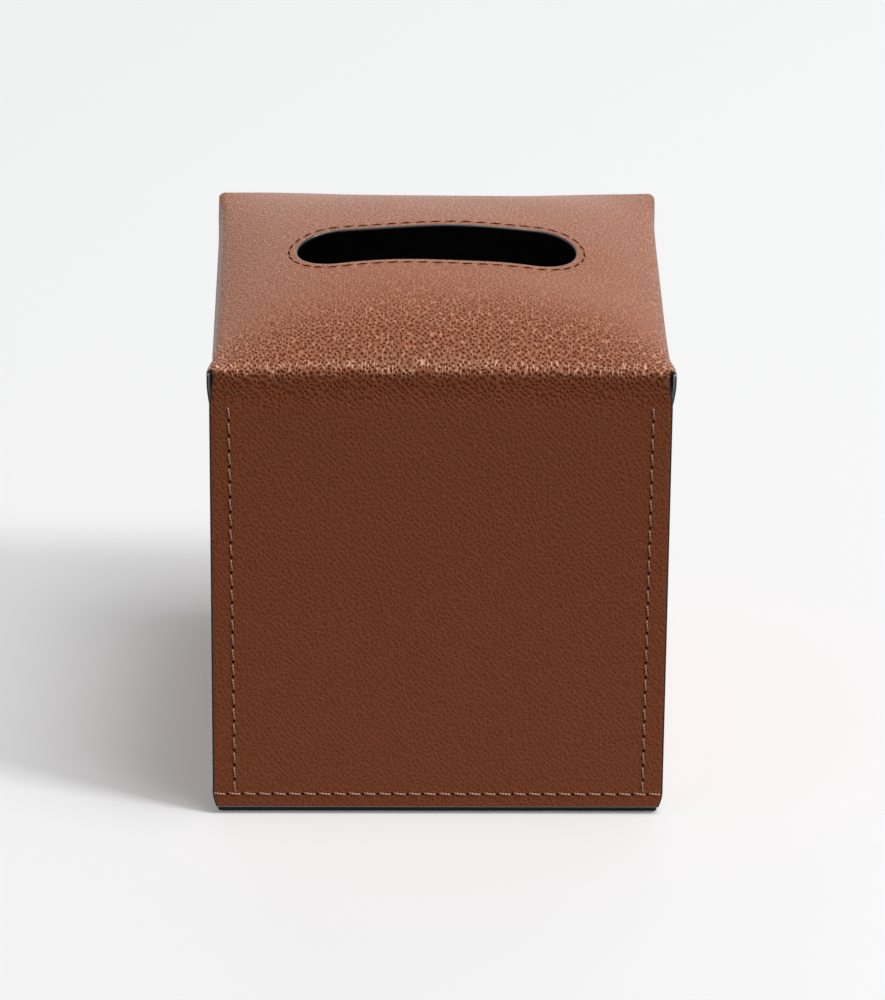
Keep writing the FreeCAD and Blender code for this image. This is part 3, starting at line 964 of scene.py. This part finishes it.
def thread_material(name, colour):
    """Twisted thread: slanting plies, with a painted highlight on their crests and painted shade between
    them.
    """
    material, tree, shader = new_material(name)
    along, around, _ = parts_of(tree, blank_place(tree))
    turns = maths(tree, "ADD", maths(tree, "DIVIDE", along, TWIST_LENGTH), around)
    crest = scaled(tree, maths(tree, "SINE", times(tree, turns, 2 * math.pi)), 0.5, 0.5)
    plies = mixed(tree, crest, shaded(colour, PLY_SHADE), colour)
    finish(tree, shader, plies, roughness=0.7, ior=1.1, relief=crest, strength=0.8, depth=0.08 * MM)
    return material


def pressed_material(name, darkness):
    """The painted shade where thread has pressed the leather in, or where a needle hole is: dark in the
    middle, gone at the rim.
    """
    found = bpy.data.materials.get(name)
    if found:
        return found
    colour = bpy.context.scene.tissue_cover_colours.stitch_hole
    material = speckled_material(name, colour, 0.9, 2000, 0.02 * MM, ior=1.05)
    tree = material.node_tree
    shade = left_over(tree, ramp(tree, length_of(tree, blank_place(tree)), *PRESSED_FADES))
    put(tree, tree.nodes["Principled BSDF"], "Alpha", times(tree, shade, darkness))
    return material


def woven_material(name, colour, thread):
    """A plain weave, by the object's own coordinates."""
    material, tree, shader = new_material(name)
    place = object_place(tree)
    turns = 2 * math.pi / thread
    waves = [maths(tree, "SINE", times(tree, part, turns)) for part in parts_of(tree, place)]
    weave = times(tree, maths(tree, "ADD", waves[0], waves[1]), waves[2])
    patches = mixed(tree, noise(tree, place, 400.0, 3.0, "3D").outputs[0], shaded(colour, 0.5), colour)
    finish(tree, shader, patches, roughness=0.9, ior=1.5, relief=weave, strength=0.3, depth=0.1 * MM)
    return material


def refinish(node, material):
    """Give a carried-over CAD piece its finish."""
    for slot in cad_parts[node].material_slots:
        slot.material = material


# Operators

class MakeLeather(bpy.types.Operator):
    """Fold the leather over the CAD cover, with its slot, ears, flanges and painted edges"""

    bl_idname = "tissue_cover.leather"
    bl_label = "Leather"

    def execute(self, context):
        sizes, colours = context.scene.tissue_cover_sizes, context.scene.tissue_cover_colours
        form = LeatherForm(sizes)
        bm = thickened(folded_sheet(form), form)
        blank = bm.verts.layers.float_vector["blank"]
        write_map(bm, lambda vert: vert[blank].xy)
        materials = [
            leather_material(colours),
            speckled_material("leather_backing", colours.backing, 0.95, 700, 0.05 * MM),
            speckled_material("edge_paint", colours.edge_paint, 0.3, 900, 0.03 * MM),
            speckled_material("edge_core", colours.edge_core, 0.35, 1500, 0.05 * MM),
            speckled_material("slot_paint", colours.edge_paint, 0.26, 900, 0.02 * MM, ior=1.65),
        ]
        piece = add_object("folded_leather", bm, materials, "cover")
        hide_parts("leather_cover")
        return {"FINISHED"}


class MakeRingStitches(bpy.types.Operator):
    """Sew the ring of stitches round the slot"""

    bl_idname = "tissue_cover.ring_stitches"
    bl_label = "Ring stitches"

    def execute(self, context):
        sizes, stitches = context.scene.tissue_cover_sizes, context.scene.tissue_cover_stitches
        form = LeatherForm(sizes)
        length = sizes.slot_length + 2 * stitches.ring_margin
        width = sizes.slot_width + 2 * stitches.ring_margin
        perimeter = 2 * (length - width) + math.pi * width
        count = round(perimeter / stitches.ring_pitch)
        tenth = 0.1 / count

        def on_top(share):
            place = stadium_point(share, length, width)
            place.x += sizes.slot_shift
            ahead = stadium_point(share + tenth, length, width) - stadium_point(share - tenth, length, width)
            point = form.settled((place.x, place.y, form.top_height(place.x, place.y)))
            return placed(point, ahead.to_3d(), form.top_normal(place.x, place.y), stitches.slant / 2)

        size = (stitches.ring_length, stitches.stitch_bow, stitches.ring_radius)
        # The slot's thread colour carries painted shade
        thread = thread_material("ring_thread", context.scene.tissue_cover_colours.ring_thread)
        places = [on_top(number / count) for number in range(count)]
        row_of_stitches("slot_stitches", size, thread, places, [])
        return {"FINISHED"}


class MakeWallStitches(bpy.types.Operator):
    """Sew the upright seams of the front and back, and the hem of all four walls"""

    bl_idname = "tissue_cover.wall_stitches"
    bl_label = "Wall stitches"

    def execute(self, context):
        sizes, stitches = context.scene.tissue_cover_sizes, context.scene.tissue_cover_stitches
        form = LeatherForm(sizes)
        size = (stitches.stitch_length, stitches.stitch_bow, stitches.thread_radius)
        thread = thread_material("wall_thread", context.scene.tissue_cover_colours.hem_thread)
        row_of_stitches("seam_stitches", size, thread, *self.seam_places(form, stitches))
        row_of_stitches("hem_stitches", size, thread, *self.hem_places(form, stitches))
        return {"FINISHED"}

    def seam_places(self, form, stitches):
        """Where the upright stitches and their holes go."""
        top = form.fold - stitches.seam_start
        low = form.hem + stitches.hem_margin
        count = round((top - low) / stitches.seam_pitch)
        pitch = (top - low) / count
        places, holes = [], []
        for face in SIDES:
            normal = Vector((0, face, 0))
            for side in SIDES:
                for half_step in range(2 * count):
                    z = top - (half_step + 1) * pitch / 2
                    drift = stitches.left_drift if side < 0 else stitches.right_drift
                    margin = stitches.seam_margin + drift * ease(DRIFT_START, 1, (top - z) / (top - low))
                    x = side * (form.half_width - margin)
                    point = form.settled((x, face * form.half_depth, z))
                    place = placed(point, Vector((0, 0, 1)), normal, -face * stitches.slant)
                    (places, holes)[half_step % 2].append(place)
        return places, holes

    def hem_places(self, form, stitches):
        """Where the hem's stitches and their holes go."""
        z = form.hem + stitches.hem_margin
        places, holes = [], []
        for quarter in range(4):
            turned = Matrix.Rotation(quarter * math.pi / 2, 4, "Z")
            half = (form.half_width, form.half_depth)[quarter % 2]
            out = (form.half_depth, form.half_width - stitches.side_sink)[quarter % 2]
            count = round(2 * half / stitches.hem_pitch)
            for half_step in range(1, 2 * count):
                x = half * (half_step / count - 1)
                place = turned @ placed(
                    Vector((x, -out, z)), Vector((1, 0, 0)), Vector((0, -1, 0)), -stitches.slant)
                (holes, places)[half_step % 2].append(place)
        return places, holes


class FinishLining(bpy.types.Operator):
    """Give the boards and the lining inside the walls their finish"""

    bl_idname = "tissue_cover.lining"
    bl_label = "Boards and lining"

    def execute(self, context):
        colours = context.scene.tissue_cover_colours
        lining = woven_material("lining_cloth", colours.lining, 0.8 * MM)
        board = speckled_material("grey_board", colours.board, 0.85, 500, 0.05 * MM, 0.2)
        for wall in ("front", "back", "left", "right"):
            refinish(wall + "_lining", lining)
            refinish(wall + "_board", board)
        return {"FINISHED"}


class FinishBase(bpy.types.Operator):
    """Give the base's plate, riser, liner and felt their finish"""

    bl_idname = "tissue_cover.base"
    bl_label = "Base"

    def execute(self, context):
        colours = context.scene.tissue_cover_colours
        covered = speckled_material("covered_board", colours.base, 0.45, 1200, 0.05 * MM)
        refinish("base_plate", covered)
        refinish("base_riser", covered)
        refinish("base_liner", speckled_material("napped_cloth", colours.lining, 0.95, 2500, 0.15 * MM))
        refinish("base_felt", speckled_material("felt", colours.felt, 0.95, 1800, 0.15 * MM))
        return {"FINISHED"}


# The lights: name, place, size, which setting holds the power, and whether it casts shadows
LIGHTS = (
    ("side_light", (2.85, -1.22, 3.47), 0.75, "key_power", True),
    ("overhead_light", (1.12, -0.55, 4.27), 1.7, "top_power", True),
    ("fill_light", (0.0, 0.0, 4.65), 2.4, "fill_power", False),
    ("back_light", (0.41, 2.8, 1.4), 3.0, "back_power", False),
)
LIT_PLACE = Vector((0, 0, 0.07))

# The floor: half its size, how far out its bounce fades and to what share, and how pale the distance looks
FLOOR_HALF = 6
BOUNCE_FADES = (0.1, 0.7)
FAR_BOUNCE = 0.2
SEEN_STRENGTH = 0.88


class MakeStage(bpy.types.Operator):
    """Set up the floor, the lights and the camera"""

    bl_idname = "tissue_cover.stage"
    bl_label = "Stage"

    def execute(self, context):
        settings = context.scene.tissue_cover_stage
        self.make_floor(context.scene.tissue_cover_colours.floor, settings.bounce)
        self.make_surround(settings.surround)
        for name, place, size, power, shadow in LIGHTS:
            self.make_softbox(name, Vector(place), size, getattr(settings, power), shadow)
        self.make_camera(context.scene, settings)
        context.scene.view_settings.view_transform = "Standard"
        return {"FINISHED"}

    def make_floor(self, colour, bounce):
        """A wide pale floor, which lights the object less than it shows."""
        bm = bmesh.new()
        bmesh.ops.create_grid(bm, x_segments=2, y_segments=2, size=FLOOR_HALF)
        mesh = mesh_from(bm, "floor")
        floor = linked("floor", mesh)
        material, tree, shader = new_material("studio_floor")
        away = ramp(tree, length_of(tree, object_place(tree)), *BOUNCE_FADES)
        felt = mixed(tree, away, (bounce,) * 3, (FAR_BOUNCE * bounce,) * 3)
        put(tree, shader, "Base Color", mixed(tree, self.seen_rays(tree), felt, colour))
        put(tree, shader, "Roughness", 1.0)
        put(tree, shader, "Specular IOR Level", 0.0)
        mesh.materials.append(material)

    def seen_rays(self, tree):
        """One where the background is seen: by the camera, in a gloss or through glass."""
        path = tree.nodes.new("ShaderNodeLightPath")
        mirrored = maths(tree, "MAXIMUM", path.outputs["Is Glossy Ray"], path.outputs["Is Transmission Ray"])
        return maths(tree, "MAXIMUM", path.outputs["Is Camera Ray"], mirrored)

    def make_surround(self, strength):
        """Even light from all round, and pale where the camera looks past the floor."""
        world = bpy.data.worlds.new("surround")
        bpy.context.scene.world = world
        world.use_nodes = True
        tree = world.node_tree
        background = tree.nodes["Background"]
        strengths = scaled(tree, self.seen_rays(tree), SEEN_STRENGTH - strength, strength)
        put(tree, background, "Strength", strengths)
        put(tree, background, "Color", (1, 1, 1, 1))

    def make_softbox(self, name, place, size, power, shadow):
        """A square soft light that faces the object."""
        light = bpy.data.lights.new(name, "AREA")
        light.size = size
        light.energy = power
        light.use_shadow = shadow
        box = linked(name, light)
        box.location = place
        box.rotation_euler = (LIT_PLACE - place).to_track_quat("-Z", "Y").to_euler()
        box.visible_camera = False

    def make_camera(self, scene, settings):
        """The camera, from its place and its three turns."""
        camera = bpy.data.cameras.new("camera")
        camera.lens = settings.lens
        eye = linked("camera", camera)
        turns = (
            Matrix.Rotation(-settings.yaw, 4, "Z")
            @ Matrix.Rotation(math.pi / 2 - settings.pitch, 4, "X")
            @ Matrix.Rotation(settings.roll, 4, "Z")
        )
        eye.matrix_world = Matrix.Translation(settings.place) @ turns
        scene.camera = eye


class TissueCoverPanel(bpy.types.Panel):
    """The cover's operators, sizes and colours"""

    bl_idname = "VIEW3D_PT_tissue_cover"
    bl_label = "Tissue cover"
    bl_space_type = "VIEW_3D"
    bl_region_type = "UI"
    bl_category = "Tissue cover"

    def draw(self, context):
        for operator in OPERATORS:
            self.layout.operator(operator.bl_idname)
        for name in GROUPS:
            box = self.layout.box()
            group = getattr(context.scene, name)
            for key in group.bl_rna.properties.keys():
                if key not in ("rna_type", "name"):
                    box.prop(group, key, text=key.replace("_", " ").capitalize())


OPERATORS = (MakeLeather, MakeRingStitches, MakeWallStitches, FinishLining, FinishBase, MakeStage)
GROUPS = {
    "tissue_cover_sizes": CoverSizes,
    "tissue_cover_stitches": StitchSizes,
    "tissue_cover_colours": CoverColours,
    "tissue_cover_stage": StageSettings,
}


def register():
    """Make the groups, operators and panel known, and hang the groups on the scene."""
    for group in GROUPS.values():
        bpy.utils.register_class(group)
    for name, group in GROUPS.items():
        setattr(bpy.types.Scene, name, bpy.props.PointerProperty(type=group))
    for operator in OPERATORS:
        bpy.utils.register_class(operator)
    bpy.utils.register_class(TissueCoverPanel)


def unregister():
    """Take all of it away again."""
    bpy.utils.unregister_class(TissueCoverPanel)
    for operator in reversed(OPERATORS):
        bpy.utils.unregister_class(operator)
    for name, group in GROUPS.items():
        delattr(bpy.types.Scene, name)
        bpy.utils.unregister_class(group)


def main():
    """Make every piece."""
    register()
    bpy.ops.tissue_cover.leather()
    bpy.ops.tissue_cover.ring_stitches()
    bpy.ops.tissue_cover.wall_stitches()
    bpy.ops.tissue_cover.lining()
    bpy.ops.tissue_cover.base()
    bpy.ops.tissue_cover.stage()


if __name__ == "__main__":
    main()
